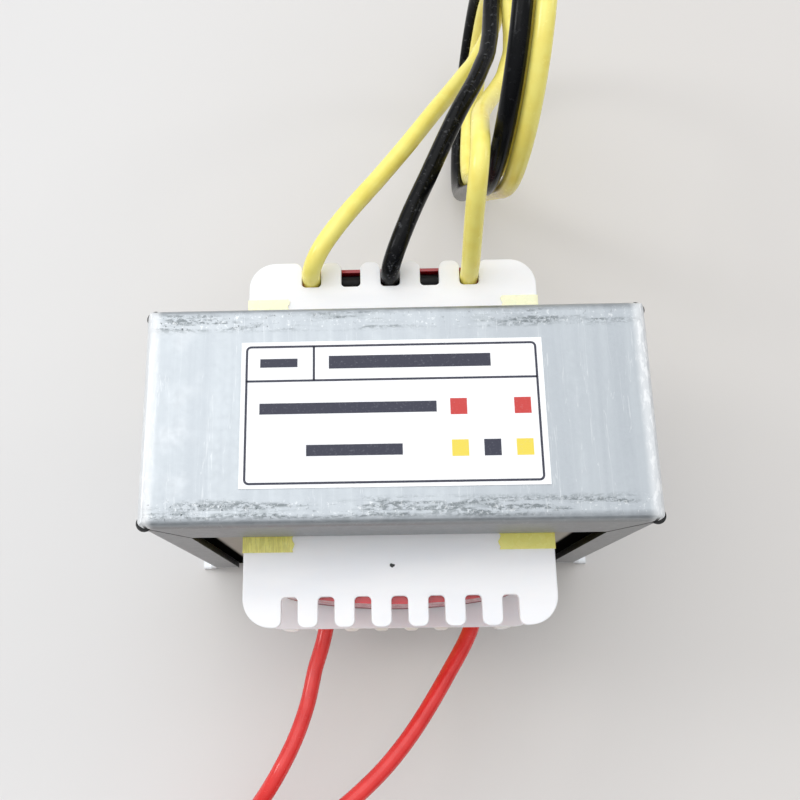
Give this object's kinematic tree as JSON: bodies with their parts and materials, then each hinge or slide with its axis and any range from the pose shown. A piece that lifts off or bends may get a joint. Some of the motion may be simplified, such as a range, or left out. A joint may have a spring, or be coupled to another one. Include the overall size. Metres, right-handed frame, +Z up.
{
  "type": "laminated chassis transformer",
  "caption": "Small mains transformer with an interleaved steel core in a folded channel frame with screw ears, a sectional bobbin and insulated flying leads.",
  "frame": {"origin": "midway between the two mounting holes, on the mounting plane under the feet", "axes": "+Z up from the mounting plane; +X along the line of the two mounting holes; -Y towards the primary leads"},
  "size_m": [0.092, 0.1921, 0.0742],
  "materials": {
    "galvanised_steel": "dull galvanised, lightly scuffed",
    "core_steel": "annealed, oxide grey",
    "white_nylon": "natural moulded, slightly translucent",
    "enamelled_copper": "enamelled",
    "yellow_film": "thin glossy tape",
    "red_film": "thin glossy tape",
    "black_sleeve": "satin",
    "label_paper": "white paper",
    "red_insulation": "soft satin",
    "yellow_insulation": "soft satin",
    "black_insulation": "soft satin",
    "tinned_copper": "solder tinned",
    "white_tie": "flat strip with a wire inside"
  },
  "bodies": {
    "root": {"mounting_frame": "galvanised_steel", "e_laminations_up": "core_steel", "e_laminations_down": "core_steel", "i_laminations_top": "core_steel", "i_laminations_bottom": "core_steel", "bobbin": "white_nylon", "primary_winding": "enamelled_copper", "secondary_winding": "enamelled_copper", "primary_wrap": "yellow_film", "secondary_wrap": "red_film", "centre_tap_sleeve": "black_sleeve", "left_side_tape": "yellow_film", "right_side_tape": "yellow_film", "paper_label": "label_paper", "red_lead_1": "red_insulation", "red_lead_2": "red_insulation", "yellow_lead_1": "yellow_insulation", "yellow_lead_2": "yellow_insulation", "black_lead": "black_insulation", "primary_coil": "red_insulation", "primary_coil_tie": "white_tie", "secondary_hank": "yellow_insulation", "secondary_hank_tie": "white_tie", "red_lead_1_tip": "tinned_copper", "red_lead_2_tip": "tinned_copper", "yellow_lead_1_tip": "tinned_copper", "yellow_lead_2_tip": "tinned_copper", "black_lead_tip": "tinned_copper"}
  },
  "joints": []
}
